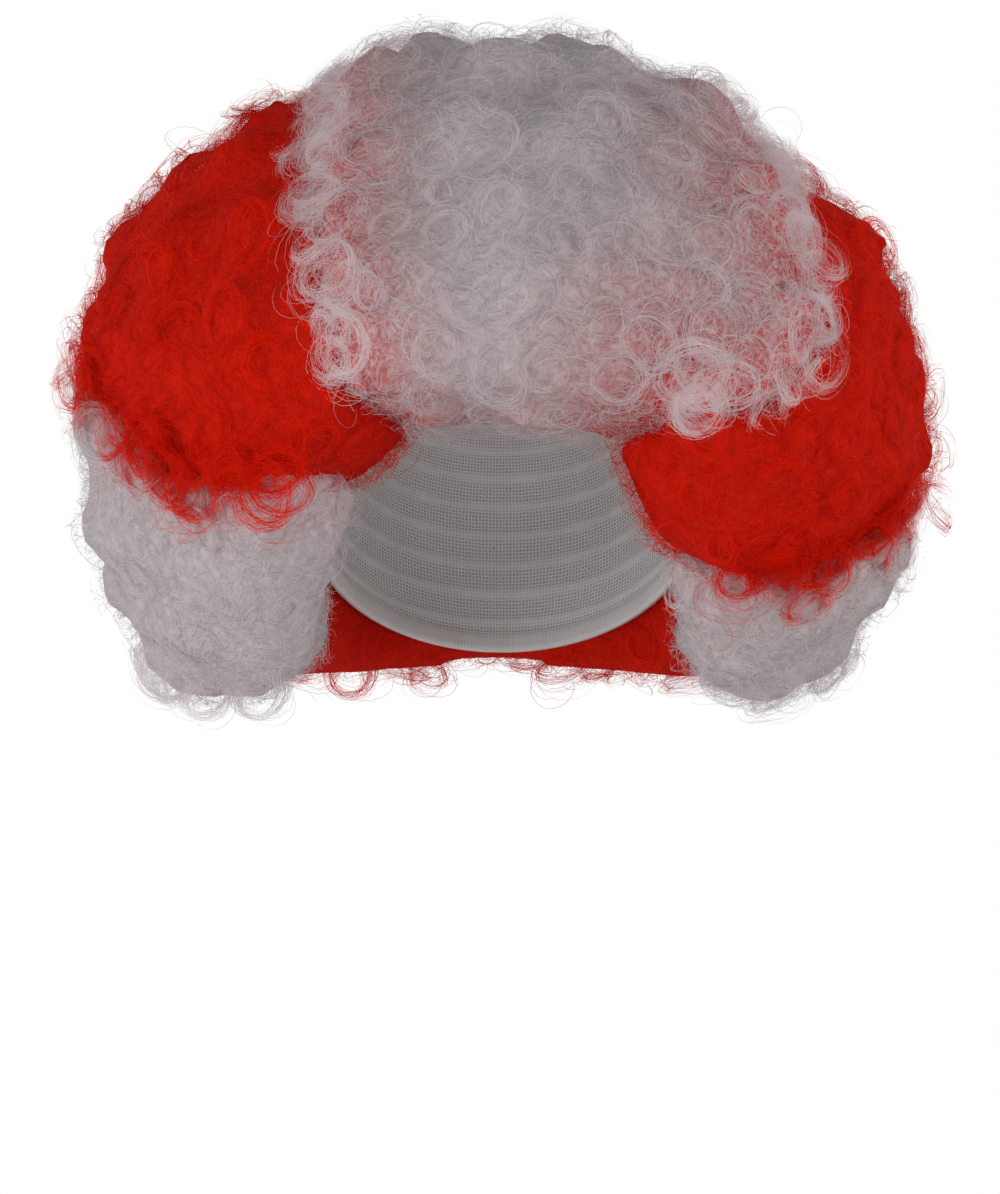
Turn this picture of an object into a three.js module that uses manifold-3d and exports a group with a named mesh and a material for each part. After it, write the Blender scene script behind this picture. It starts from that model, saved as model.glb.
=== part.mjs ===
// Afro wig: a stretch cap that fits over the head, with seven panels of curled hair sewn on it in a
// red and white checkerboard. Each panel is a thick mat of hair with curled locks on all its open faces.
// Millimetres, +Z up, the face opening towards -Y, left and right as seen from the front.
// The origin is where the crown of the head meets the inside of the cap.
import * as THREE from "three";
import { mergeVertices } from "three/addons/utils/BufferGeometryUtils.js";
import Module from "manifold-3d";

const wasm = await Module();
wasm.setup();

// The head that the cap fits: half an ellipsoid above the ears, an upright oval column below them.
const HEAD = { halfWidth: 78, halfLength: 97, crownToEars: 95 };
const CAP_WALL = 2;
const HEM = { depth: 9, extraWall: 1 };
// The rim is cut by one plane, high at the forehead and low at the nape.
const RIM = { heightAtEars: -80, tiltDeg: 35 };
const CAP_SEGMENTS = { around: 24, upwards: 14 };

// Hair starts clear of the cap by this much, which leaves room for the flats of both meshes.
const ROOT_GAP = 2.4;
// Half of the gap between two neighbouring panels.
const SEAM_GAP = 0.6;

// The hair's outer outline: how far its surface lies from the upright centre line at each height.
const OUTLINE = [
  { z: 123, left: 0, right: 0, front: 0, back: 0 },
  { z: 116, left: 56, right: 52, front: 46, back: 52 },
  { z: 99, left: 88, right: 88, front: 78, back: 88 },
  { z: 66, left: 136, right: 128, front: 117, back: 130 },
  { z: 33, left: 163, right: 157, front: 142, back: 155 },
  { z: 0, left: 178, right: 174, front: 152, back: 169 },
  { z: -50, left: 180, right: 179, front: 146, back: 173 },
  { z: -99, left: 174, right: 172, front: 118, back: 164 },
  { z: -132, left: 153, right: 149, front: 88, back: 146 },
  { z: -155, left: 131, right: 121, front: 62, back: 122 },
  { z: -161, left: 0, right: 0, front: 0, back: 0 },
];

// The point that seams and hair radiate from, inside the head.
const HAIR_CENTRE = new THREE.Vector3(0, 0, -60);

// Where the seams between the panels meet, as points on the hair.
const CORNER = {
  fringeLeft: [-54, -118, -27],
  fringeRight: [66, -116, -31],
  crownLeft: [-74, 6, 100],
  crownRight: [118, 4, 66],
  sideLeft: [-172, 24, -10],
  sideRight: [174, 24, -58],
  templeLeft: [-64, -88, -54],
  templeRight: [74, -76, -88],
  jawLeft: [-88, -42, -142],
  jawRight: [90, -40, -150],
  napeLeft: [-86, 62, -142],
  napeRight: [84, 62, -149],
};

// The seams: each runs from one corner to another through the points between.
const SEAM = {
  fringe: ["fringeLeft", [6, -126, -24], "fringeRight"],
  crown: ["crownLeft", [18, 34, 118], "crownRight"],
  frontLeft: ["fringeLeft", [-62, -128, -2], [-75, -128, 28], [-74, -92, 66], "crownLeft"],
  frontRight: ["fringeRight", [106, -104, -28], [119, -84, 4], [112, -72, 40], "crownRight"],
  templeLeft: ["templeLeft", [-62, -104, -42], "fringeLeft"],
  templeRight: ["templeRight", [70, -100, -58], "fringeRight"],
  lowerLeft: ["templeLeft", [-104, -97, -62], [-141, -78, -48], [-164, -50, -26], "sideLeft"],
  lowerRight: ["templeRight", [112, -88, -101], [148, -60, -88], [172, -24, -74], "sideRight"],
  upperBackLeft: ["sideLeft", [-160, 14, 36], [-118, 8, 76], "crownLeft"],
  upperBackRight: ["sideRight", [178, 18, -8], [152, 10, 38], "crownRight"],
  middleBack: ["sideLeft", [-120, 118, -32], [0, 168, -46], [120, 118, -62], "sideRight"],
  lowerBackLeft: ["napeLeft", [-132, 62, -112], "sideLeft"],
  lowerBackRight: ["napeRight", [128, 62, -124], "sideRight"],
  jawLeft: ["jawLeft", [-84, -70, -110], "templeLeft"],
  jawRight: ["jawRight", [86, -62, -126], "templeRight"],
  bottomLeft: ["jawLeft", [-102, 10, -144], "napeLeft"],
  bottomRight: ["jawRight", [102, 10, -147], "napeRight"],
  bottomBack: ["napeLeft", [0, 118, -148], "napeRight"],
};

// Each panel's colour, its four seams as seen from outside with the panel's top up, the sides with no
// neighbour, and its division.
// A leading minus runs a seam backwards: bottom and top run left to right, and the sides run upwards.
const PANELS = [
  {
    name: "hair_front_white", colour: "white",
    seams: { bottom: "fringe", top: "crown", left: "frontLeft", right: "frontRight" },
    openSides: ["bottom"],
    division: { u: "across", v: "fringeToCrown" },
  },
  {
    name: "hair_left_red", colour: "red",
    seams: { bottom: "-lowerLeft", top: "-frontLeft", left: "upperBackLeft", right: "templeLeft" },
    openSides: ["right"],
    division: { u: "fringeToCrown", v: "upper" },
  },
  {
    name: "hair_right_red", colour: "red",
    seams: { bottom: "lowerRight", top: "frontRight", left: "templeRight", right: "upperBackRight" },
    openSides: ["left"],
    division: { u: "fringeToCrown", v: "upper" },
  },
  {
    name: "hair_left_white", colour: "white",
    seams: { bottom: "-bottomLeft", top: "-lowerLeft", left: "lowerBackLeft", right: "jawLeft" },
    openSides: ["right", "bottom"],
    division: { u: "fringeToCrown", v: "lower" },
  },
  {
    name: "hair_right_white", colour: "white",
    seams: { bottom: "bottomRight", top: "lowerRight", left: "jawRight", right: "lowerBackRight" },
    openSides: ["left", "bottom"],
    division: { u: "fringeToCrown", v: "lower" },
  },
  {
    name: "hair_back_white", colour: "white",
    seams: { bottom: "-middleBack", top: "-crown", left: "upperBackRight", right: "upperBackLeft" },
    openSides: [],
    division: { u: "across", v: "upper" },
  },
  {
    name: "hair_nape_red", colour: "red",
    seams: { bottom: "-bottomBack", top: "-middleBack", left: "lowerBackRight", right: "lowerBackLeft" },
    openSides: ["bottom"],
    division: { u: "across", v: "lower" },
  },
];
// How finely the panels are divided: across the front or back, from fringe to crown, and up each tier.
const SEGMENTS = { across: 11, fringeToCrown: 8, upper: 6, lower: 4 };

// A lock is a curl seen end on: a rim that climbs once round a hollow while it winds inwards.
const LOCK = {
  footRadius: 16,
  footDepth: 5,
  rimRadius: { start: 13, end: 9 },
  rimHeight: { start: 4, end: 10 },
  hollowHeight: 1,
  sides: 6,
};
const LOCK_SCALE = { least: 0.8, most: 1.3 };
const LOCK_TILT_DEG = 10;
// Locks keep off their face's edges by this much more than their radius: two open faces meet at a corner.
const LOCK_EDGE_GAP = 2;
// How many random places are tried on each face of a panel.
const LOCK_TRIES = 1500;
// The mat's own face lies below the outline by this much, and the locks fill the rest.
const MAT_DEPTH = 9;

const MATERIALS = {
  white: new THREE.MeshStandardMaterial({ color: 0xe4dfe1, roughness: 0.7, metalness: 0 }),
  red: new THREE.MeshStandardMaterial({ color: 0xc81505, roughness: 0.65, metalness: 0 }),
  cap: new THREE.MeshStandardMaterial({ color: 0xd8d5d2, roughness: 0.9, metalness: 0 }),
};

// Joining and cutting

// Vertices nearer than this are one.
const WELD = 0.001;

function solidOf(geometry) {
  const bare = geometry.clone();
  bare.deleteAttribute("normal");
  bare.deleteAttribute("uv");
  const merged = mergeVertices(bare, WELD);
  return new wasm.Manifold(
    new wasm.Mesh({
      numProp: 3,
      vertProperties: merged.attributes.position.array,
      triVerts: new Uint32Array(merged.index.array),
    }),
  );
}

function geometryOf(solid) {
  const { vertProperties, triVerts } = solid.getMesh();
  const geometry = new THREE.BufferGeometry();
  geometry.setAttribute("position", new THREE.BufferAttribute(vertProperties, 3));
  geometry.setIndex(new THREE.BufferAttribute(triVerts, 1));
  return geometry;
}

// The named mesh of a solid's largest body, without the specks that cutting and welding can leave.
function meshOf(solid, name, material) {
  const bodies = solidOf(geometryOf(solid)).decompose();
  const geometry = geometryOf(bodies.reduce((a, b) => (b.volume() > a.volume() ? b : a)));
  geometry.computeVertexNormals();
  const mesh = new THREE.Mesh(geometry, material);
  mesh.name = name;
  return mesh;
}

// The forms of head and hair

// The squared distances of the outline at a height. Squares are blended, so that a round top stays round.
function outlineAt(z) {
  const below = OUTLINE.findIndex((row) => row.z <= z);
  if (below < 1) return null;
  const [upper, lower] = [OUTLINE[below - 1], OUTLINE[below]];
  const share = (upper.z - z) / (upper.z - lower.z);
  const square = (side) => THREE.MathUtils.lerp(upper[side] ** 2, lower[side] ** 2, share);
  return { left: square("left"), right: square("right"), front: square("front"), back: square("back") };
}

function insideHair(p) {
  const level = outlineAt(p.z);
  if (!level) return false;
  const across = p.x ** 2 / (p.x < 0 ? level.left : level.right);
  const along = p.y ** 2 / (p.y < 0 ? level.front : level.back);
  return across + along < 1;
}

function insideHead(p, clearance) {
  const across = p.x / (HEAD.halfWidth + clearance);
  const along = p.y / (HEAD.halfLength + clearance);
  const up = Math.max(0, p.z + HEAD.crownToEars) / (HEAD.crownToEars + clearance);
  return across ** 2 + along ** 2 + up ** 2 < 1;
}

// How far from the hair's centre a direction leaves a form.
function reach(direction, inside) {
  const FARTHEST = 400;
  const HALVINGS = 40;
  const point = new THREE.Vector3();
  let [near, far] = [0, FARTHEST];
  for (let i = 0; i < HALVINGS; i++) {
    const middle = (near + far) / 2;
    point.copy(HAIR_CENTRE).addScaledVector(direction, middle);
    if (inside(point)) near = middle;
    else far = middle;
  }
  return near;
}

const rootReach = (direction) => reach(direction, (p) => insideHead(p, CAP_WALL + ROOT_GAP));
const hairReach = (direction) => reach(direction, insideHair);

function along(direction, distance) {
  return HAIR_CENTRE.clone().addScaledVector(direction, distance);
}

// Seams and panels

const seamCurves = Object.fromEntries(
  Object.entries(SEAM).map(([name, stops]) => {
    const points = stops.map((stop) => new THREE.Vector3(...(CORNER[stop] ?? stop)));
    const directions = points.map((p) => p.sub(HAIR_CENTRE).normalize());
    return [name, new THREE.CatmullRomCurve3(directions, false, "centripetal")];
  }),
);

function seamPoint(name, t) {
  return name.startsWith("-") ? seamCurves[name.slice(1)].getPoint(1 - t) : seamCurves[name].getPoint(t);
}

// The direction of a place on a panel: u runs left to right and v upwards, both from 0 to 1.
function panelDirection(panel, u, v) {
  const side = (name, t) => seamPoint(panel.seams[name], t);
  const corner = (a, b) => side(b ? "top" : "bottom", a).multiplyScalar((a ? u : 1 - u) * (b ? v : 1 - v));
  const blend = side("left", v).multiplyScalar(1 - u);
  blend.add(side("right", v).multiplyScalar(u));
  blend.add(side("bottom", u).multiplyScalar(1 - v));
  blend.add(side("top", u).multiplyScalar(v));
  for (const [a, b] of [[0, 0], [1, 0], [0, 1], [1, 1]]) blend.sub(corner(a, b));
  return blend.normalize();
}

// The faces of a panel that locks stand on. Two coordinates, left to right and upwards as seen from outside,
// give a place on the panel and its depth, which is 0 at the roots and 1 at the mat's outer face.
const FACES = {
  outside: (a, b) => ({ u: a, v: b, depth: 1 }),
  left: (a, b) => ({ u: 0, v: b, depth: a }),
  right: (a, b) => ({ u: 1, v: b, depth: 1 - a }),
  bottom: (a, b) => ({ u: a, v: 0, depth: b }),
};

const matReach = (direction) => hairReach(direction) - MAT_DEPTH;

function facePoint(panel, face, a, b) {
  const { u, v, depth } = FACES[face](a, b);
  const direction = panelDirection(panel, u, v);
  return along(direction, THREE.MathUtils.lerp(rootReach(direction), matReach(direction), depth));
}

// A face's outward direction, from the points about a place.
function faceNormal(panel, face, a, b) {
  const STEP = 0.03;
  const across = facePoint(panel, face, a + STEP, b).sub(facePoint(panel, face, a - STEP, b));
  const upwards = facePoint(panel, face, a, b + STEP).sub(facePoint(panel, face, a, b - STEP));
  return across.cross(upwards).normalize();
}

// A face's width and height, measured through its middle.
function faceSize(panel, face) {
  const middle = facePoint(panel, face, 0.5, 0.5);
  const toMiddle = (a, b) => facePoint(panel, face, a, b).distanceTo(middle);
  return { width: toMiddle(0, 0.5) + toMiddle(1, 0.5), height: toMiddle(0.5, 0) + toMiddle(0.5, 1) };
}

// A closed block over a panel's place, from its roots to a distance, bent from a plain box.
function panelBlock(panel, outerReach) {
  const { width, height } = faceSize(panel, "outside");
  const [columns, rows] = [SEGMENTS[panel.division.u], SEGMENTS[panel.division.v]];
  const geometry = new THREE.BoxGeometry(1, 1, 1, columns, rows, 1);
  const position = geometry.attributes.position;
  const inset = (share, length) => 0.5 + share * (1 - (2 * SEAM_GAP) / length);
  for (let i = 0; i < position.count; i++) {
    const u = inset(position.getX(i), width);
    const v = inset(position.getY(i), height);
    const direction = panelDirection(panel, u, v);
    const distance = position.getZ(i) > 0 ? outerReach(direction) : rootReach(direction);
    position.setXYZ(i, ...along(direction, distance).toArray());
  }
  return solidOf(geometry);
}

// Locks

// Repeatable numbers from 0 to 1.
function randomFrom(seed) {
  let state = seed;
  return () => {
    state = (state * 1664525 + 1013904223) % 2 ** 32;
    return state / 2 ** 32;
  };
}

// One lock about +Z, with its foot below zero. The rim starts as a unit circle, and each of its points then
// gets its own radius and height. It steps down again where the climb ends.
function lockForm(turn) {
  const RIM_POINT = 2;
  const profile = [
    new THREE.Vector2(0, -LOCK.footDepth),
    new THREE.Vector2(LOCK.footRadius, -LOCK.footDepth),
    new THREE.Vector2(1, 0),
    new THREE.Vector2(0, LOCK.hollowHeight),
  ];
  const geometry = new THREE.LatheGeometry(profile, LOCK.sides);
  geometry.rotateX(Math.PI / 2);
  const position = geometry.attributes.position;
  for (let side = 0; side <= LOCK.sides; side++) {
    const i = side * profile.length + RIM_POINT;
    const climb = (turn > 0 ? side % LOCK.sides : (LOCK.sides - side) % LOCK.sides) / (LOCK.sides - 1);
    const radius = THREE.MathUtils.lerp(LOCK.rimRadius.start, LOCK.rimRadius.end, climb);
    const height = THREE.MathUtils.lerp(LOCK.rimHeight.start, LOCK.rimHeight.end, climb);
    position.setXYZ(i, position.getX(i) * radius, position.getY(i) * radius, height);
  }
  return geometry;
}

// One lock standing on a face, turned and tilted at random.
function lockAt(point, normal, scale, random) {
  const tilt = () => THREE.MathUtils.degToRad(LOCK_TILT_DEG) * (2 * random() - 1);
  const pose = new THREE.Euler(tilt(), tilt(), 2 * Math.PI * random());
  const upright = new THREE.Quaternion().setFromUnitVectors(new THREE.Vector3(0, 0, 1), normal);
  const geometry = lockForm(random() < 0.5 ? -1 : 1);
  geometry.scale(scale, scale, scale);
  geometry.applyQuaternion(new THREE.Quaternion().setFromEuler(pose).premultiply(upright));
  geometry.translate(point.x, point.y, point.z);
  return solidOf(geometry);
}

// A face's locks, of random sizes, tried at random and kept where they stay clear of each other and of the
// face's edges.
function faceLocks(panel, face, random) {
  const kept = [];
  for (let i = 0; i < LOCK_TRIES; i++) {
    const scale = THREE.MathUtils.lerp(LOCK_SCALE.least, LOCK_SCALE.most, random());
    const radius = scale * LOCK.footRadius;
    const [a, b] = [random(), random()];
    const point = facePoint(panel, face, a, b);
    if (kept.some((other) => other.point.distanceTo(point) < other.radius + radius)) continue;
    const edges = [[0, b], [1, b], [a, 0], [a, 1]].map((place) => facePoint(panel, face, ...place));
    if (edges.some((edge) => edge.distanceTo(point) < radius + LOCK_EDGE_GAP)) continue;
    const solid = lockAt(point, faceNormal(panel, face, a, b), scale, random);
    kept.push({ point, radius, solid });
  }
  return kept.map((lock) => lock.solid);
}

function hairPanel(panel, seed) {
  const random = randomFrom(seed);
  const room = panelBlock(panel, (direction) => hairReach(direction) + LOCK.footRadius);
  const mat = panelBlock(panel, matReach);
  const outerLocks = faceLocks(panel, "outside", random).map((lock) => lock.intersect(room));
  const sideLocks = panel.openSides.flatMap((side) => faceLocks(panel, side, random));
  const hair = [...outerLocks, ...sideLocks].reduce((joined, lock) => joined.add(lock), mat);
  return meshOf(hair, panel.name, MATERIALS[panel.colour]);
}

// Cap

// The head's upper form grown by a clearance: an ellipsoid, which the rim cuts above its lower half.
function headForm(clearance) {
  const ball = new THREE.SphereGeometry(1, CAP_SEGMENTS.around, CAP_SEGMENTS.upwards);
  ball.rotateX(Math.PI / 2);
  ball.scale(HEAD.halfWidth + clearance, HEAD.halfLength + clearance, HEAD.crownToEars + clearance);
  ball.translate(0, 0, -HEAD.crownToEars);
  return solidOf(ball);
}

// Everything below the rim's plane, moved along the plane's upward direction.
function belowRim(offset) {
  const SIZE = 600;
  const slab = new THREE.BoxGeometry(SIZE, SIZE, SIZE);
  slab.translate(0, 0, offset - SIZE / 2);
  slab.rotateX(THREE.MathUtils.degToRad(-RIM.tiltDeg));
  slab.translate(0, 0, RIM.heightAtEars);
  return solidOf(slab);
}

function cap() {
  const wall = headForm(CAP_WALL).subtract(headForm(0));
  const hem = headForm(CAP_WALL).subtract(headForm(-HEM.extraWall)).intersect(belowRim(HEM.depth));
  return meshOf(wall.add(hem).subtract(belowRim(0)), "cap", MATERIALS.cap);
}

const wig = new THREE.Group();
wig.name = "afro_wig";
wig.add(cap());
PANELS.forEach((panel, index) => wig.add(hairPanel(panel, index + 1)));

export default wig;
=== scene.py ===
"""Looks of the afro wig: seven panels of curled hair in red and white on a knitted stretch cap.

Each panel is a soft mat in the place of its solid, covered with locks of fine ribbons in six kinds: short
fuzz and loose tufts that fill the surface, bundled curls, ringlets and stray hairs that hang over the next
panel, and wisps next to the head. All lengths are in metres, with the front towards -Y.
"""
import math

import bpy
import numpy as np
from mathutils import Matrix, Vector
from mathutils.bvhtree import BVHTree


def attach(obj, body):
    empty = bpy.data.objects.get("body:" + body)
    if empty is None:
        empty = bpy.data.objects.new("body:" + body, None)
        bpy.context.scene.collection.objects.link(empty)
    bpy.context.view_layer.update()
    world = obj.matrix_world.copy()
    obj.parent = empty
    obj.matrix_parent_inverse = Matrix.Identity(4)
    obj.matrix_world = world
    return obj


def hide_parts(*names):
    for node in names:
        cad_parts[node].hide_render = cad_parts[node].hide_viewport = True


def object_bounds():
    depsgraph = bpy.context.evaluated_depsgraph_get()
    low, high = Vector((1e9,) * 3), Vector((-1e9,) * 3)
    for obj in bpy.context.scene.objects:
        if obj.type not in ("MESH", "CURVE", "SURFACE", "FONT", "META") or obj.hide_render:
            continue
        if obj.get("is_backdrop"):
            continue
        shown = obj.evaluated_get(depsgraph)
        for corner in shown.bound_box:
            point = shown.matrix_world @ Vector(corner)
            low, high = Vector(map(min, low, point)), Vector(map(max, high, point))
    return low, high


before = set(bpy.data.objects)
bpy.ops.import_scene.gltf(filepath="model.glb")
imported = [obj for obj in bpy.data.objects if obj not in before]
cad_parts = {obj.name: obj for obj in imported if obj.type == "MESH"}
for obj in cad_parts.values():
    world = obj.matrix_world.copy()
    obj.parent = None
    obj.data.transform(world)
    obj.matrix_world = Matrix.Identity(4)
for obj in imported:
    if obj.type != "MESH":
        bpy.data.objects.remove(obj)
cad_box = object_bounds()

MM = 0.001
CM2 = 1e-4

# The head that the cap fits: half an ellipsoid above the ears, an upright oval column below them.
HEAD_HALF = np.array([78, 97, 95]) * MM
EARS_Z = -95 * MM
# Points in this share of the head, round its middle, are moved outwards but not all the way.
HEAD_CORE = 0.05
CAP_WALL = 2 * MM
# The cap's rim lies in one plane, high at the forehead and low at the nape.
RIM_Z_AT_EARS = -80 * MM
RIM_TILT = math.radians(35)
HEM_DEPTH = 9 * MM
HEM_EDGE = 1.5 * MM
HEM_EXTRA_WALL = 1 * MM
HEM_GATHERS = 44
GATHER_DEPTH = 0.4
# Rows of hair are sewn to the cap, and each row is a ridge on its inside.
WEFT_SPACING = 13 * MM
WEFT_RIDGE = 0.6 * MM
WEFT_SHARPNESS = 4
CAP_GRID = {"around": 160, "inside": 88, "outside": 8}
# The cap's smallest ring, at the crown, as a share of the way down to the rim
CROWN_RING = 0.004

# The panels. Fuzz to wisps are the locks of each kind on a square centimetre. Sheer is how much of another
# colour shows through the panel, and shows is how far, in millimetres, its own colour shows through sheer
# hair. Reach is the share of their kind's reach that locks hang over a border, and hangs is the direction.
# Hem is the depth of the free lower edge, as a share of EDGE_DEPTH, and the share of their reach that locks
# hang down there.
PANELS = {
    "hair_front_white": {
        "colour": "white", "sheer": 1.0, "shows": 0, "hem": 0.45, "reach": 0.6, "hangs": "back",
        "fuzz": 2.4, "tufts": 1.0, "curls": 0.2, "ringlets": 0.8, "strays": 2.6, "wisps": 2,
    },
    "hair_left_red": {
        "colour": "red", "sheer": 0, "shows": 60, "hem": 0.45, "reach": 1, "hangs": "back",
        "fuzz": 2.4, "tufts": 1.05, "curls": 0.15, "ringlets": 1.3, "strays": 3.6, "wisps": 9,
    },
    "hair_right_red": {
        "colour": "red", "sheer": 0, "shows": 95, "hem": 0.45, "reach": 1, "hangs": "back",
        "fuzz": 2.4, "tufts": 1.05, "curls": 0.15, "ringlets": 1.3, "strays": 3.6, "wisps": 9,
    },
    "hair_left_white": {
        "colour": "white", "sheer": 0.1, "shows": 0, "hem": 0.5, "reach": 1, "hangs": "back",
        "fuzz": 3.2, "tufts": 0.45, "curls": 0.06, "ringlets": 0.35, "strays": 0.8, "wisps": 1,
    },
    "hair_right_white": {
        "colour": "white", "sheer": 0.1, "shows": 0, "hem": 0.5, "reach": 1, "hangs": "back",
        "fuzz": 3.2, "tufts": 0.45, "curls": 0.06, "ringlets": 0.35, "strays": 0.8, "wisps": 1,
    },
    "hair_back_white": {
        "colour": "white", "sheer": 0.5, "shows": 0, "hem": 0.45, "reach": 0.8, "hangs": "back",
        "fuzz": 1.4, "tufts": 0.55, "curls": 0.11, "ringlets": 0.45, "strays": 1.2, "wisps": 0,
    },
    "hair_nape_red": {
        "colour": "red", "sheer": 0, "shows": 50, "hem": 0.9, "reach": 1, "hangs": "forward",
        "fuzz": 1.1, "tufts": 0.45, "curls": 0.06, "ringlets": 0.2, "strays": 0.5, "wisps": 2,
    },
}

# The soft mat under the locks, and its clearance from the head
MAT_VOXEL = 7 * MM
MAT_SMOOTHING = 5
MAT_GROWTH = 2 * MM
MAT_CLEARANCE = 4 * MM
# How fast another colour fades away from a border
SHOW_FADE = 1.5

# Candidate places on the mats, and the least distance between locks as a share of their mean distance
PLACES_PER_CM2 = 20
LEAST_SPACING = 0.7
# A place is open if nothing else of the wig lies in front of it, from this height on for this distance.
OPEN_HEIGHT = 1 * MM
OPEN_DISTANCE = 45 * MM
# A place is on a border if another panel is this near, and next to the head if a clearance of this size
# round the head moves it by more than a trace.
BORDER_DISTANCE = 20 * MM
NEAR_HEAD = 14 * MM
TRACE = 0.01 * MM
# A place is on the outer face if it looks away from this point, by at least this cosine.
HAIR_CENTRE = np.array([0, 0, -60]) * MM
LEAST_OUTWARD = 0.7
# Locks at a border hang over the next panel if it lies far enough in the direction set for their own.
HANG_DIRECTIONS = {"back": np.array([0, 0.45, -0.9]), "forward": np.array([0, -0.45, -0.9])}
LEAST_HANG = 0.2
# Locks this near the lowest end of a panel hang over its free edge, for a panel with a hem of 1.
EDGE_DEPTH = 38 * MM
# The share of its height that a lock over a border sinks towards the next panel, the most that it stays
# above a mat, and the weight of its own direction against that of the mat below it
DRAPE = 0.25
MOST_LIFT = 10 * MM
OWN_FACING = 2

# Kinds of lock, each with the places where it grows, its number of strands and the points along a strand.
# In millimetres: a strand's width, the coil's radius, the height of its middle above the mat, its climb
# from root to tip, its reach over a border, how far its strands stray, and the most that it rises above the
# mat. Turns are those of the coil. The leans and stray_turn are in radians.
LOCKS = {
    "fuzz": {
        "where": "everywhere", "strands": 2, "width": 0.18, "points": 6,
        "radius": (4, 7), "turns": (0.35, 0.6), "height": (1, 2.5), "climb": (0, 4), "over": (0, 6),
        "lean": 1.2, "stray": 1.5, "stray_lean": 0.6, "stray_turn": 1.5, "ceiling": 6,
    },
    "tufts": {
        "where": "everywhere", "strands": 3, "width": 0.21, "points": 10,
        "radius": (6, 13), "turns": (0.55, 0.9), "height": (0, 2), "climb": (2, 5), "over": (0, 8),
        "lean": 0.6, "stray": 0.8, "stray_lean": 0.15, "stray_turn": 0.3, "ceiling": 5,
    },
    "curls": {
        "where": "everywhere", "strands": 14, "width": 0.2, "points": 15,
        "radius": (8, 13), "turns": (0.9, 1.3), "height": (1, 3), "climb": (3, 6), "over": (0, 8),
        "lean": 0.4, "stray": 0.9, "stray_lean": 0.15, "stray_turn": 0.6, "ceiling": 6.5,
    },
    "ringlets": {
        "where": "borders", "strands": 34, "width": 0.15, "points": 16,
        "radius": (7, 13), "turns": (0.9, 1.35), "height": (2, 5), "climb": (4, 8), "over": (0, 23),
        "lean": 0.4, "stray": 1.0, "stray_lean": 0.18, "stray_turn": 0.7, "ceiling": 10,
    },
    "strays": {
        "where": "borders", "strands": 4, "width": 0.15, "points": 15,
        "radius": (8, 14), "turns": (0.7, 1.1), "height": (1, 5), "climb": (3, 8), "over": (0, 24),
        "lean": 0.5, "stray": 2.5, "stray_lean": 0.4, "stray_turn": 1.5, "ceiling": 8,
    },
    "wisps": {
        "where": "head", "strands": 4, "width": 0.18, "points": 7,
        "radius": (6, 10), "turns": (0.3, 0.55), "height": (0, 2), "climb": (0, 5), "over": (0, 0),
        "lean": 1.3, "stray": 2, "stray_lean": 0.6, "stray_turn": 2, "ceiling": 9,
    },
}
# How uneven the strands are, as shares: in turns and radius, in width, and in how round the coil is
STRAND_SPREAD = (0.85, 1.15)
WIDTH_SPREAD = (0.7, 1.3)
ROUNDNESS = (0.7, 1)
# A coil is widest at its root and tightens along the strand. Its tip flicks in or out from TIP_START on.
ROOT_RADIUS = 1.1
TIGHTENING = (0, 0.55)
TIP_START = 0.7
TIP_FLICK = (-0.5, 0.4)
# Waves along a strand, and the most that one strays, as a multiple of its kind's stray
WAVES = (0.6, 2)
WOBBLE = 0.6 * MM
MOST_ASTRAY = 2.5
# A strand is free below this share of its ceiling, and pressed down above it.
FREE_HEIGHT = 0.5
# A ribbon's lean in radians, the shares of its length over which it widens at its root and narrows at its
# tip, and the least share of its width
RIBBON_LEAN = 0.45
ROOT_TAPER = 0.12
TIP_TAPER = 0.3
LEAST_WIDTH = 0.2
# Parts of a strand deeper in the mat than this are left out.
HIDDEN_DEPTH = 0.4 * MM
# The strands share the columns of the bake's map, with a margin on both sides of each.
TINT_COLUMNS = 64
COLUMN_MARGIN = 0.1

# Colours of the strands, their shine, and the share of light that passes through them
FIBRES = {
    "white": {"dark": (0.76, 0.695, 0.71), "light": (0.86, 0.79, 0.81), "shine": 0.15, "through": 0.52},
    "red": {"dark": (0.78, 0.010, 0.001), "light": (0.92, 0.022, 0.003), "shine": 0.04, "through": 0.3},
}
# A strand is darker over this share of its length, down to this shade at its root: painted shade where it
# grows from the mat.
PAINTED_ROOT_LENGTH = 0.4
ROOT_SHADE = 0.9
# Colours of the mats, painted darker than the fibres as the shade of the hair deep inside, with the other
# colour that shows through them
TANGLES_IN_PAINTED_SHADE = {
    "white": {"dark": (0.55, 0.495, 0.508), "light": (0.645, 0.58, 0.597), "other": (0.62, 0.009, 0.002)},
    "red": {"dark": (0.60, 0.007, 0.001), "light": (0.72, 0.013, 0.002), "other": (0.63, 0.57, 0.58)},
}
# The mat's pattern: the size of a swirl, the part of the noise that it is drawn from, and how much of the
# other colour shows in the gaps between its hairs and on them
SWIRL_SIZE = 8 * MM
SWIRL_RANGE = (0.3, 0.7)
SHOW_IN_GAPS = 1.4
SHOW_ON_HAIRS = 0.3
# The net: its colours, with the holes painted dark grey as the shade behind the net, the size of a mesh,
# where a thread fades out as shares of a mesh, the ribs of the elastic and the painted shade between them
NET_HOLE_SHADE = (0.40, 0.38, 0.38)
NET_THREAD = (0.74, 0.72, 0.71)
NET_MESH = 1.5 * MM
THREAD_EDGE = (0.12, 0.3)
RIB_SPACING = 1.6 * MM
RIB_STRETCH = 0.2
RIB_SHADE = 0.6
FIBRE_ROUGHNESS = 0.42
MATTE_ROUGHNESS = 0.85
TANGLE_SHINE = 0.1
NET_SHINE = 0.2
TANGLE_RELIEF = {"distance": 1.2 * MM, "strength": 0.8}
NET_RELIEF = {"distance": 0.4 * MM, "strength": 0.5}

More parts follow.
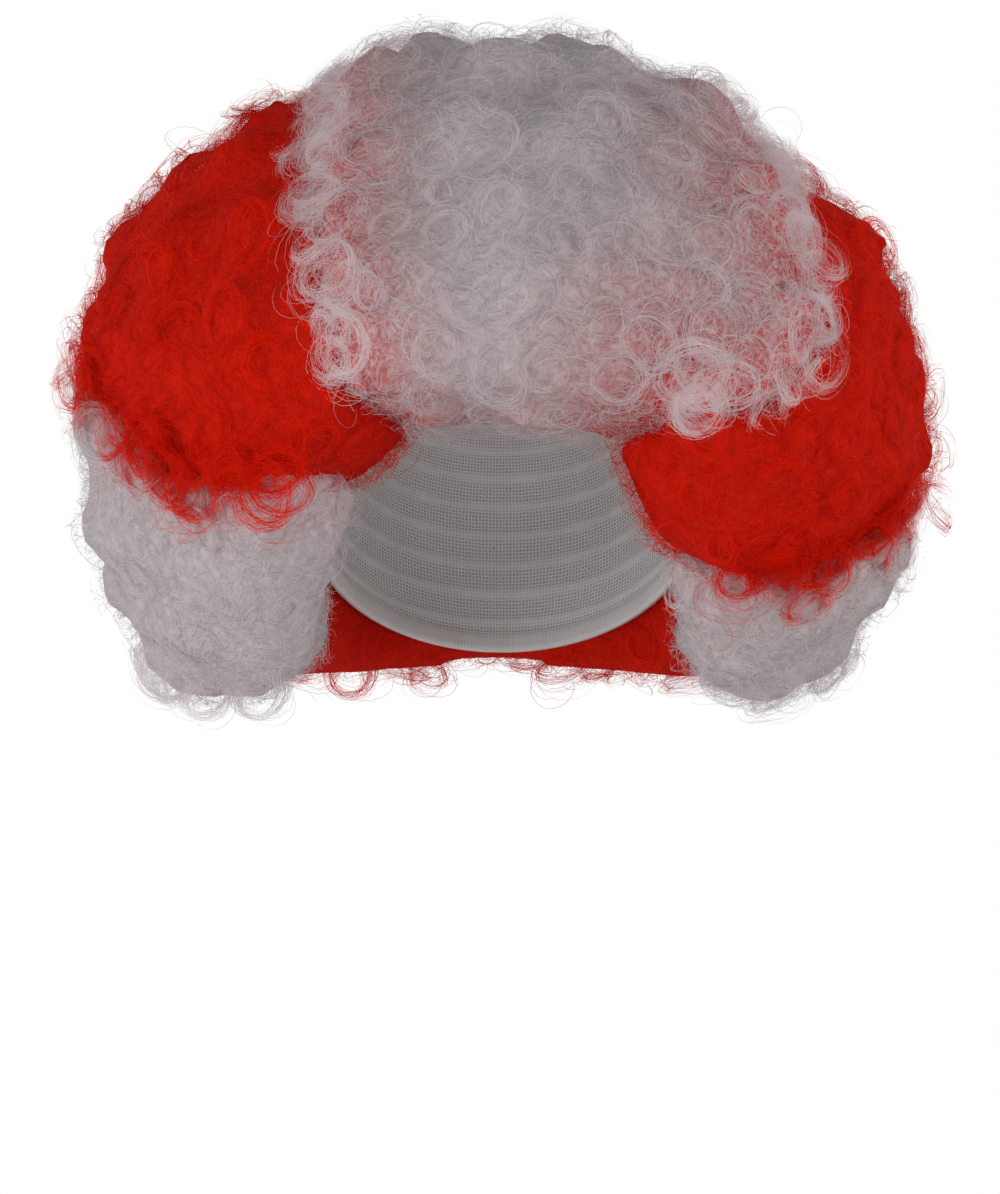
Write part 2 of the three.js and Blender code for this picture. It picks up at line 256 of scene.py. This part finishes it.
# The photograph's frame: its size in pixels, its scale, and the pixel that the origin falls on
PICTURE = (1000, 1194)
PIXELS_PER_MM = 2.42
ORIGIN_PIXEL = (502, 330)
CAMERA_DISTANCE = 1.55
CAMERA_ELEVATION = math.radians(4)
SENSOR = 36
BACKDROP_RADIUS = 8
ROOM_LIGHT = 0.35
SOFTBOXES = {
    "left_softbox": {"place": (-1.7, -1.2, -0.2), "size": (1.2, 1.2), "power": 19},
    "right_softbox": {"place": (1.7, -1.2, 0.2), "size": (1.2, 1.2), "power": 16.5},
    "back_softbox": {"place": (0, 2.0, 0.1), "size": (1.6, 1.2), "power": 18},
    "table_bounce": {"place": (-0.3, -0.9, -1.1), "size": (1.6, 1.0), "power": 2.5},
}


# Arrays

def unit(vectors):
    return vectors / np.maximum(np.linalg.norm(vectors, axis=-1, keepdims=True), 1e-9)


def between(limits, count, random):
    return random.uniform(limits[0], limits[1], (count, 1))


def leaning(directions, angle, random):
    """The directions, each turned by a random angle to a random side."""
    side = unit(np.cross(directions, random.normal(size=directions.shape)))
    turn = angle * random.normal(size=(len(directions), 1))
    return directions * np.cos(turn) + side * np.sin(turn)


def outside_head(points, clearance):
    """The points, with those inside the head and a clearance round it moved out."""
    from_ears = points - np.array([0, 0, EARS_Z])
    scaled = from_ears / (HEAD_HALF + clearance)
    scaled[..., 2] = np.maximum(0, scaled[..., 2])
    depth = np.linalg.norm(scaled, axis=-1, keepdims=True)
    grow = np.where(depth < 1, 1 / np.maximum(depth, HEAD_CORE), 1)
    moved = from_ears * grow
    moved[..., 2] = np.where(from_ears[..., 2] > 0, moved[..., 2], from_ears[..., 2])
    return moved + np.array([0, 0, EARS_Z])


def vertex_array(mesh, name="co"):
    values = np.zeros(len(mesh.vertices) * 3, np.float32)
    mesh.vertices.foreach_get(name, values)
    return values.reshape(-1, 3).astype(float)


def add_attributes(mesh, values):
    """Gives each vertex of a mesh its number under each name."""
    for name, numbers in values.items():
        layer = mesh.attributes.new(name, "FLOAT", "POINT")
        layer.data.foreach_set("value", numbers.astype(np.float32).ravel())


# Mats

def add_piece(name, mesh, material):
    mesh.materials.clear()
    mesh.materials.append(material)
    mesh.shade_smooth()
    piece = bpy.data.objects.new(name, mesh)
    bpy.context.scene.collection.objects.link(piece)
    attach(piece, "root")
    return piece


def softened_mesh(node):
    """A soft closed form of a hair solid, grown a little and kept clear of the cap."""
    form = bpy.data.objects.new(node + "_form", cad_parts[node].data)
    bpy.context.scene.collection.objects.link(form)
    remesh = form.modifiers.new("remesh", "REMESH")
    remesh.mode = "VOXEL"
    remesh.voxel_size = MAT_VOXEL
    smooth = form.modifiers.new("smooth", "SMOOTH")
    smooth.iterations = MAT_SMOOTHING
    graph = bpy.context.evaluated_depsgraph_get()
    mesh = bpy.data.meshes.new_from_object(form.evaluated_get(graph))
    bpy.data.objects.remove(form)
    points = vertex_array(mesh) + MAT_GROWTH * vertex_array(mesh, "normal")
    mesh.vertices.foreach_set("co", outside_head(points, MAT_CLEARANCE).astype(np.float32).ravel())
    mesh.update()
    return mesh


def add_show_through(mesh, node):
    """Marks on a mat's vertices how much of another colour shows through it, most at the border."""
    colour = PANELS[node]["colour"]
    showing = np.zeros(len(mesh.vertices))
    for other, panel in PANELS.items():
        if panel["colour"] != colour and panel["shows"] > 0:
            distance = [solid_trees[other].find_nearest(vertex.co)[3] for vertex in mesh.vertices]
            showing = np.maximum(showing, 1 - np.array(distance) / (panel["shows"] * MM))
    add_attributes(mesh, {"other_colour": PANELS[node]["sheer"] * showing ** SHOW_FADE})


def joined_tree(meshes):
    corners = []
    faces = []
    for mesh in meshes:
        faces.extend([len(corners) + vertex for vertex in face.vertices] for face in mesh.polygons)
        corners.extend(vertex_array(mesh).tolist())
    return BVHTree.FromPolygons(corners, faces)


# Places

def is_open(place, outward, node):
    start = Vector(place + outward * OPEN_HEIGHT)
    return all(
        tree.ray_cast(start, Vector(outward), OPEN_DISTANCE)[0] is None
        for other, tree in solid_trees.items() if other != node
    )


def open_places(mesh, node, random):
    """Random places on a mat that face the open air, their outward directions, and the open area."""
    mesh.calc_loop_triangles()
    corners = np.zeros(len(mesh.loop_triangles) * 3, np.int32)
    mesh.loop_triangles.foreach_get("vertices", corners)
    corners = corners.reshape(-1, 3)
    points = vertex_array(mesh)[corners]
    normals = vertex_array(mesh, "normal")[corners]
    areas = np.linalg.norm(np.cross(points[:, 1] - points[:, 0], points[:, 2] - points[:, 0]), axis=1) / 2
    count = int(areas.sum() / CM2 * PLACES_PER_CM2)
    chosen = random.choice(len(areas), count, p=areas / areas.sum())
    shares = random.dirichlet((1, 1, 1), count)[:, :, None]
    places = (points[chosen] * shares).sum(1)
    outward = unit((normals[chosen] * shares).sum(1))
    free = np.array([is_open(place, direction, node) for place, direction in zip(places, outward)])
    return places[free], outward[free], areas.sum() * free.mean()


def spaced(places, count, spacing):
    """Indices of up to so many places that keep a distance from each other."""
    kept = []
    for i, place in enumerate(places):
        if len(kept) == count:
            break
        if not kept or np.linalg.norm(places[kept] - place, axis=1).min() > spacing:
            kept.append(i)
    return np.array(kept, int)


def border_directions(places, outward, node):
    """For each place the direction along the mat to the nearest other panel, or down over a free edge."""
    trees = [solid_trees[other] for other in PANELS if other != node]
    directions = np.zeros_like(places)
    hem = PANELS[node]["hem"]
    down = np.array([0, 0, -hem])
    at_edge = places[:, 2] < places[:, 2].min() + hem * EDGE_DEPTH
    for i, place in enumerate(places):
        found = [tree.find_nearest(Vector(place), BORDER_DISTANCE)[0] for tree in trees]
        near = [np.array(point) - place for point in found if point is not None]
        if near:
            offset = min(near, key=np.linalg.norm)
            directions[i] = unit(offset - outward[i] * (offset @ outward[i]))
        elif at_edge[i]:
            directions[i] = down - outward[i] * (down @ outward[i])
    return directions


def seats(places, outward, over, mats):
    """The places moved over a border and laid on the mat there, with the outward directions."""
    moved = places + over
    facing = outward.copy()
    for i in np.flatnonzero(np.abs(over).sum(1)):
        surface, normal, _, _ = mats.find_nearest(Vector(moved[i]))
        height = (Vector(moved[i]) - surface).dot(normal)
        sink = max(DRAPE * height, height - MOST_LIFT) if height > 0 else height
        moved[i] -= np.array(normal) * sink
        facing[i] = unit(OWN_FACING * outward[i] + np.array(normal))
    return moved, facing


# Strands

def coils(places, outward, kind, random):
    """Strands of the locks on some places: lines, the way each one's flat side faces, tints and widths."""
    locks = len(places)
    axis = leaning(outward, kind["lean"], random)
    across = unit(np.cross(axis, random.normal(size=(locks, 3))))
    radius = between(kind["radius"], locks, random) * MM
    turns = between(kind["turns"], locks, random) * random.choice([-1, 1], (locks, 1))
    climb = between(kind["climb"], locks, random) * MM
    start = between((0, 2 * math.pi), locks, random)
    tightening = between(TIGHTENING, locks, random)
    middle = places + outward * between(kind["height"], locks, random) * MM
    lock_tint = between((0, 1), locks, random)

    lock = np.repeat(np.arange(locks), kind["strands"])
    count = len(lock)
    along = np.linspace(0, 1, kind["points"])[None, :]
    strand_axis = leaning(axis[lock], kind["stray_lean"], random)
    side = unit(across[lock] - strand_axis * (across[lock] * strand_axis).sum(1, keepdims=True))
    up = np.cross(strand_axis, side)
    astray = kind["stray"] * MM * np.minimum(random.exponential(size=(count, 1)), MOST_ASTRAY)
    centre = middle[lock] + astray * random.normal(size=(count, 3))
    angle = start[lock] + kind["stray_turn"] * random.normal(size=(count, 1))
    angle = angle + 2 * math.pi * turns[lock] * between(STRAND_SPREAD, count, random) * along
    reach = radius[lock] * between(STRAND_SPREAD, count, random)
    reach = reach * (ROOT_RADIUS - tightening[lock] * along)
    tip = np.clip((along - TIP_START) / (1 - TIP_START), 0, 1)
    reach = reach * (1 + between(TIP_FLICK, count, random) * tip ** 2)
    roundness = between(ROUNDNESS, count, random)

    points = centre[:, None, :] + strand_axis[:, None, :] * (climb[lock] * (along - 0.5))[..., None]
    points = points + side[:, None, :] * (reach * np.cos(angle))[..., None]
    points = points + up[:, None, :] * (roundness * reach * np.sin(angle))[..., None]
    waves = between(WAVES, count, random) * along + between((0, 1), count, random)
    wobble = WOBBLE * random.normal(size=(count, 1, 3))
    points = points + wobble * np.sin(2 * math.pi * waves)[..., None]
    points = below_ceiling(points, places[lock], outward[lock], kind["ceiling"] * MM)
    points = outside_head(points, CAP_WALL)
    facing = leaning(outward[lock], RIBBON_LEAN, random)
    tint = (lock_tint[lock, 0] + random.uniform(0, 1, count)) / 2
    width = kind["width"] * random.uniform(*WIDTH_SPREAD, count) * MM
    return points, facing, tint, width


def below_ceiling(points, places, outward, ceiling):
    """The points, with those high above their place pressed down under a ceiling."""
    height = ((points - places[:, None, :]) * outward[:, None, :]).sum(2)
    free = FREE_HEIGHT * ceiling
    pressed = free + (ceiling - free) * np.tanh((height - free) / (ceiling - free))
    lower = np.where(height > free, pressed - height, 0)
    return points + outward[:, None, :] * lower[..., None]


def ribbon_edges(points, facing, width):
    """Two edges for each line: a ribbon that narrows to both ends."""
    sideways = unit(np.cross(np.gradient(points, axis=1), facing[:, None, :]))
    along = np.linspace(0, 1, points.shape[1])
    narrowing = np.clip(np.minimum(along / ROOT_TAPER, (1 - along) / TIP_TAPER), LEAST_WIDTH, 1)
    half = sideways * (width[:, None] * narrowing[None, :] / 2)[..., None]
    return np.stack([points - half, points + half], axis=2)


def in_sight(points, places, outward, mats):
    """Which points of the lines lie outside the mats or just under their surface."""
    seen = ((points - places[:, None, :]) * outward[:, None, :]).sum(2) > -HIDDEN_DEPTH
    for strand, step in zip(*np.nonzero(~seen)):
        point = Vector(points[strand, step])
        surface, normal, _, _ = mats.find_nearest(point)
        seen[strand, step] = (surface - point).dot(normal) < HIDDEN_DEPTH
    return seen


def ribbon_mesh(name, edges, seen, tint):
    """One mesh of many ribbons, with each ribbon's tint and the place along it as attributes."""
    count, steps = edges.shape[:2]
    first = (np.arange(count)[:, None] * steps + np.arange(steps - 1)[None, :]) * 2
    first = first[seen[:, 1:] | seen[:, :-1]]
    corners = np.stack([first, first + 1, first + 3, first + 2], axis=-1)
    used, quads = np.unique(corners, return_inverse=True)
    quads = quads.ravel()
    mesh = bpy.data.meshes.new(name)
    mesh.vertices.add(len(used))
    mesh.vertices.foreach_set("co", edges.reshape(-1, 3)[used].astype(np.float32).ravel())
    mesh.loops.add(len(quads))
    mesh.loops.foreach_set("vertex_index", quads.astype(np.int32))
    mesh.polygons.add(len(quads) // 4)
    mesh.polygons.foreach_set("loop_start", np.arange(0, len(quads), 4, dtype=np.int32))

    tint = np.floor(tint * TINT_COLUMNS)[used // (2 * steps)] / TINT_COLUMNS
    length = (used // 2 % steps) / (steps - 1)
    add_attributes(mesh, {"tint": tint, "length": length})
    column = tint + (COLUMN_MARGIN + (1 - 2 * COLUMN_MARGIN) * (used % 2)) / TINT_COLUMNS
    map_places = np.stack([column, length], axis=1)[quads]
    bake_map = mesh.uv_layers.new(name="OFBake")
    bake_map.uv.foreach_set("vector", map_places.astype(np.float32).ravel())
    mesh.update(calc_edges=True)
    return mesh


def lock_meshes(node, mat, mats, random):
    """One mesh for each kind of lock on a panel, with the kind's name."""
    panel = PANELS[node]
    places, outward, area = open_places(mat, node, random)
    border = border_directions(places, outward, node)
    on_outer_face = (outward * unit(places - HAIR_CENTRE)).sum(1) > LEAST_OUTWARD
    hangs = on_outer_face & (border @ HANG_DIRECTIONS[panel["hangs"]] > LEAST_HANG)
    near_head = np.linalg.norm(outside_head(places, NEAR_HEAD) - places, axis=1) > TRACE
    where = {"everywhere": np.full(len(places), True), "borders": hangs, "head": near_head}
    for name, kind in LOCKS.items():
        choice = np.flatnonzero(where[kind["where"]])
        density = panel[name] / CM2
        count = int(density * area * len(choice) / len(places))
        if count == 0:
            continue
        random.shuffle(choice)
        kept = choice[spaced(places[choice], count, LEAST_SPACING / math.sqrt(density))]
        reach = panel["reach"] * between(kind["over"], len(kept), random) * MM
        over = border[kept] * hangs[kept, None] * reach
        seat, away = seats(places[kept], outward[kept], over, mats)
        points, facing, tint, width = coils(seat, away, kind, random)
        lock = np.arange(len(kept)).repeat(kind["strands"])
        seen = in_sight(points, seat[lock], away[lock], mats)
        yield name, ribbon_mesh(f"{node}_{name}", ribbon_edges(points, facing, width), seen, tint)


# Cap

def rim_angle(around):
    """How far down from the crown the rim lies, as an angle of the head's ellipsoid."""
    level = math.sin(RIM_TILT) * HEAD_HALF[1] * np.sin(around)
    upright = math.cos(RIM_TILT) * HEAD_HALF[2]
    drop = math.cos(RIM_TILT) * (RIM_Z_AT_EARS - EARS_Z)
    return np.arctan2(level, upright) + np.arccos(drop / np.hypot(level, upright))


def cap_mesh():
    """The cap as one closed skin: down its ridged inside, round the hem and up its outside."""
    around = np.linspace(0, 2 * math.pi, CAP_GRID["around"], endpoint=False)
    inside = np.linspace(CROWN_RING, 1, CAP_GRID["inside"])
    outside = np.linspace(1, CROWN_RING, CAP_GRID["outside"])
    share = np.concatenate([inside, outside])[:, None]
    down = share * rim_angle(around)[None, :]
    ball = np.stack([
        np.sin(down) * np.cos(around),
        np.sin(down) * np.sin(around),
        np.cos(down),
    ], axis=2)
    normal = unit(ball / HEAD_HALF)
    length = down * HEAD_HALF[1:].mean()
    to_rim = length[len(inside) - 1] - length
    ridge = WEFT_RIDGE * np.clip(np.cos(2 * math.pi * to_rim / WEFT_SPACING), 0, 1) ** WEFT_SHARPNESS
    hem = np.clip((HEM_DEPTH - to_rim) / HEM_EDGE, 0, 1)
    gather = 0.5 + 0.5 * np.sin(HEM_GATHERS * around)[None, :]
    hem_wall = hem * HEM_EXTRA_WALL * (1 - GATHER_DEPTH + GATHER_DEPTH * gather)
    inward = np.where(hem > 0, hem_wall, ridge)
    is_inside = (np.arange(len(share)) < len(inside))[:, None]
    lift = np.where(is_inside, -inward, CAP_WALL)
    points = ball * HEAD_HALF + normal * lift[..., None] + np.array([0, 0, EARS_Z])

    rows, columns = lift.shape
    row, column = np.meshgrid(np.arange(rows - 1), np.arange(columns), indexing="ij")
    beside = (column + 1) % columns
    quads = np.stack([
        row * columns + column,
        row * columns + beside,
        (row + 1) * columns + beside,
        (row + 1) * columns + column,
    ], axis=-1).reshape(-1, 4)
    crowns = [list(range(columns))[::-1], list(range((rows - 1) * columns, rows * columns))]
    mesh = bpy.data.meshes.new("cap")
    mesh.from_pydata(points.reshape(-1, 3).tolist(), [], quads.tolist() + crowns)
    add_attributes(mesh, {
        "column": np.broadcast_to(around * HEAD_HALF[0], lift.shape),
        "row": to_rim,
        "solid": np.maximum(np.clip(2 * ridge / WEFT_RIDGE, 0, 1), hem),
    })
    return mesh


# Materials

def new_material(name):
    material = bpy.data.materials.new(name)
    material.use_nodes = True
    material.node_tree.nodes.clear()
    return material, material.node_tree.nodes, material.node_tree.links.new


def attribute_output(nodes, name):
    attribute = nodes.new("ShaderNodeAttribute")
    attribute.attribute_name = name
    return attribute.outputs["Fac"]


def colour_mix(nodes, link, factor, dark, light):
    mix = nodes.new("ShaderNodeMix")
    mix.data_type = "RGBA"
    mix.inputs["A"].default_value = (*dark, 1)
    mix.inputs["B"].default_value = (*light, 1)
    link(factor, mix.inputs["Factor"])
    return mix.outputs["Result"]


def colour_times(nodes, link, colour, factor):
    mix = nodes.new("ShaderNodeMix")
    mix.data_type = "RGBA"
    mix.blend_type = "MULTIPLY"
    mix.inputs["Factor"].default_value = 1
    link(colour, mix.inputs["A"])
    link(factor, mix.inputs["B"])
    return mix.outputs["Result"]


def combined(nodes, link, operation, first, second):
    maths = nodes.new("ShaderNodeMath")
    maths.operation = operation
    link(first, maths.inputs[0])
    link(second, maths.inputs[1])
    return maths.outputs["Value"]


def map_range(nodes, link, value, old, new):
    mapping = nodes.new("ShaderNodeMapRange")
    mapping.inputs["From Min"].default_value, mapping.inputs["From Max"].default_value = old
    mapping.inputs["To Min"].default_value, mapping.inputs["To Max"].default_value = new
    link(value, mapping.inputs["Value"])
    return mapping.outputs["Result"]


def cap_place(nodes, link, scale):
    """A texture place from the cap's attributes, each with its own scale."""
    joined = nodes.new("ShaderNodeCombineXYZ")
    for name, socket in zip(("column", "row", "solid"), joined.inputs):
        link(attribute_output(nodes, name), socket)
    stretched = nodes.new("ShaderNodeVectorMath")
    stretched.operation = "MULTIPLY"
    stretched.inputs[1].default_value = scale
    link(joined.outputs["Vector"], stretched.inputs[0])
    return stretched.outputs["Vector"]


def bumped(nodes, link, height, distance, strength):
    bump = nodes.new("ShaderNodeBump")
    bump.inputs["Distance"].default_value = distance
    bump.inputs["Strength"].default_value = strength
    link(height, bump.inputs["Height"])
    return bump.outputs["Normal"]


def add_matte_surface(nodes, link, colour, normal, shine):
    surface = nodes.new("ShaderNodeBsdfPrincipled")
    surface.inputs["Roughness"].default_value = MATTE_ROUGHNESS
    surface.inputs["Specular IOR Level"].default_value = shine
    link(colour, surface.inputs["Base Color"])
    link(normal, surface.inputs["Normal"])
    output = nodes.new("ShaderNodeOutputMaterial")
    link(surface.outputs["BSDF"], output.inputs["Surface"])


def fibre_material(name, dark, light, shine, through):
    """Fibre that passes some light through, with each strand its own tint and painted shade towards its
    root.
    """
    material, nodes, link = new_material(name)
    shade = colour_mix(nodes, link, attribute_output(nodes, "tint"), dark, light)
    # Painted shade: each strand darkens towards its root, where it grows from the mat.
    root = map_range(nodes, link, attribute_output(nodes, "length"), (0, PAINTED_ROOT_LENGTH), (ROOT_SHADE, 1))
    colour = colour_times(nodes, link, shade, root)
    surface = nodes.new("ShaderNodeBsdfPrincipled")
    surface.inputs["Roughness"].default_value = FIBRE_ROUGHNESS
    surface.inputs["Specular IOR Level"].default_value = shine
    link(colour, surface.inputs["Base Color"])
    inner = nodes.new("ShaderNodeBsdfTranslucent")
    link(colour, inner.inputs["Color"])
    mix = nodes.new("ShaderNodeMixShader")
    mix.inputs["Fac"].default_value = through
    link(surface.outputs["BSDF"], mix.inputs[1])
    link(inner.outputs["BSDF"], mix.inputs[2])
    output = nodes.new("ShaderNodeOutputMaterial")
    link(mix.outputs["Shader"], output.inputs["Surface"])
    return material


def tangle_material(name, dark, light, other):
    """The fibres deep in the hair, too fine to tell apart, with another colour in the gaps between them.
    Their colour is painted shade: darker than the fibres on top, and darkest in the gaps.
    """
    material, nodes, link = new_material(name)
    swirls = nodes.new("ShaderNodeTexNoise")
    swirls.inputs["Scale"].default_value = 1 / SWIRL_SIZE
    swirls.inputs["Detail"].default_value = 5
    swirls.inputs["Distortion"].default_value = 4
    link(nodes.new("ShaderNodeTexCoord").outputs["Object"], swirls.inputs["Vector"])
    hairs = map_range(nodes, link, swirls.outputs["Fac"], SWIRL_RANGE, (0, 1))
    gaps = map_range(nodes, link, hairs, (0, 1), (SHOW_IN_GAPS, SHOW_ON_HAIRS))
    showing = combined(nodes, link, "MULTIPLY", attribute_output(nodes, "other_colour"), gaps)
    shade = nodes.new("ShaderNodeMix")
    shade.data_type = "RGBA"
    shade.inputs["B"].default_value = (*other, 1)
    link(showing, shade.inputs["Factor"])
    # Painted shade: the gaps between the swirls' hairs take the dark colour.
    link(colour_mix(nodes, link, hairs, dark, light), shade.inputs["A"])
    relief = bumped(nodes, link, hairs, **TANGLE_RELIEF)
    add_matte_surface(nodes, link, shade.outputs["Result"], relief, TANGLE_SHINE)
    return material


def net_material(name):
    """Stretch net between the sewn rows and the hem, which are bands of ribbed elastic."""
    material, nodes, link = new_material(name)
    cells = nodes.new("ShaderNodeTexVoronoi")
    cells.feature = "DISTANCE_TO_EDGE"
    cells.inputs["Scale"].default_value = 1
    cells.inputs["Randomness"].default_value = 0.25
    link(cap_place(nodes, link, (1 / NET_MESH, 1 / NET_MESH, 0)), cells.inputs["Vector"])
    threads = map_range(nodes, link, cells.outputs["Distance"], THREAD_EDGE, (1, 0))
    ribs = nodes.new("ShaderNodeTexWave")
    # A wave texture with a scale of 1 repeats after a tenth of pi.
    ribs.inputs["Scale"].default_value = math.pi / 10 / RIB_SPACING
    ribs.inputs["Distortion"].default_value = 0.6
    link(cap_place(nodes, link, (1, RIB_STRETCH, 0)), ribs.inputs["Vector"])
    ribbing = map_range(nodes, link, ribs.outputs["Fac"], (0, 1), (RIB_SHADE, 1))
    band = combined(nodes, link, "MULTIPLY", ribbing, attribute_output(nodes, "solid"))
    closed = combined(nodes, link, "MAXIMUM", threads, band)
    # Painted shade: the holes take a dark grey, as the shade seen through them, and the grooves between the
    # ribs are painted darker.
    colour = colour_mix(nodes, link, closed, NET_HOLE_SHADE, NET_THREAD)
    relief = bumped(nodes, link, closed, **NET_RELIEF)
    add_matte_surface(nodes, link, colour, relief, NET_SHINE)
    return material


# Camera and light

def add_camera():
    middle_x = (PICTURE[0] / 2 - ORIGIN_PIXEL[0]) / PIXELS_PER_MM * MM
    middle_z = (ORIGIN_PIXEL[1] - PICTURE[1] / 2) / PIXELS_PER_MM * MM
    target = Vector((middle_x, 0, middle_z))
    back = Vector((0, -math.cos(CAMERA_ELEVATION), math.sin(CAMERA_ELEVATION)))
    lens = bpy.data.cameras.new("camera")
    lens.sensor_width = SENSOR
    lens.lens = SENSOR * PIXELS_PER_MM * CAMERA_DISTANCE / MM / max(PICTURE)
    camera = bpy.data.objects.new("camera", lens)
    camera.location = target + CAMERA_DISTANCE * back
    camera.rotation_euler = back.to_track_quat("Z", "Y").to_euler()
    bpy.context.scene.collection.objects.link(camera)
    bpy.context.scene.camera = camera


def add_softbox(name, place, size, power):
    light = bpy.data.lights.new(name, "AREA")
    light.shape = "RECTANGLE"
    light.size, light.size_y = size
    light.energy = power
    lamp = bpy.data.objects.new(name, light)
    lamp.location = place
    lamp.rotation_euler = Vector(place).to_track_quat("Z", "Y").to_euler()
    lamp.visible_camera = False
    bpy.context.scene.collection.objects.link(lamp)


def add_backdrop():
    """A white surround that only the camera sees."""
    bpy.ops.mesh.primitive_uv_sphere_add(radius=BACKDROP_RADIUS)
    backdrop = bpy.context.object
    backdrop.name = "backdrop"
    material, nodes, link = new_material("backdrop")
    glow = nodes.new("ShaderNodeEmission")
    output = nodes.new("ShaderNodeOutputMaterial")
    link(glow.outputs["Emission"], output.inputs["Surface"])
    backdrop.data.materials.append(material)
    backdrop.visible_diffuse = False
    backdrop.visible_glossy = False
    backdrop.visible_transmission = False
    backdrop.visible_volume_scatter = False
    backdrop.visible_shadow = False
    backdrop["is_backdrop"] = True


def add_room_light():
    world = bpy.data.worlds.new("room")
    world.use_nodes = True
    world.node_tree.nodes["Background"].inputs["Color"].default_value = (1, 1, 1, 1)
    world.node_tree.nodes["Background"].inputs["Strength"].default_value = ROOM_LIGHT
    bpy.context.scene.world = world
    bpy.context.scene.view_settings.view_transform = "Standard"


add_camera()
add_backdrop()
add_room_light()
for name, softbox in SOFTBOXES.items():
    add_softbox(name, **softbox)

# Pieces

graph = bpy.context.evaluated_depsgraph_get()
solid_trees = {name: BVHTree.FromObject(node, graph) for name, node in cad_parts.items()}
fibres = {colour: fibre_material(colour + "_fibre", **look) for colour, look in FIBRES.items()}
tangles = {colour: tangle_material(colour + "_tangle", **look) for colour, look in TANGLES_IN_PAINTED_SHADE.items()}

cap = add_piece("cap_net", cap_mesh(), net_material("cap_net"))
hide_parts("cap")
mat_meshes = {node: softened_mesh(node) for node in PANELS}
mats = joined_tree(mat_meshes.values())
for seed, (node, panel) in enumerate(PANELS.items()):
    add_show_through(mat_meshes[node], node)
    mat = add_piece(node + "_mat", mat_meshes[node], tangles[panel["colour"]])
    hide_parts(node)
    for name, mesh in lock_meshes(node, mat.data, mats, np.random.default_rng(seed)):
        locks = add_piece(f"{node}_{name}", mesh, fibres[panel["colour"]])
        # Real hairs are finer than these ribbons, so white ones over a border would shade it far too much.
        locks.visible_shadow = panel["colour"] == "red" or LOCKS[name]["where"] != "borders"

boxes = {"cad": cad_box, "visual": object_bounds()}
{name: [list(corner) for corner in box] for name, box in boxes.items()}
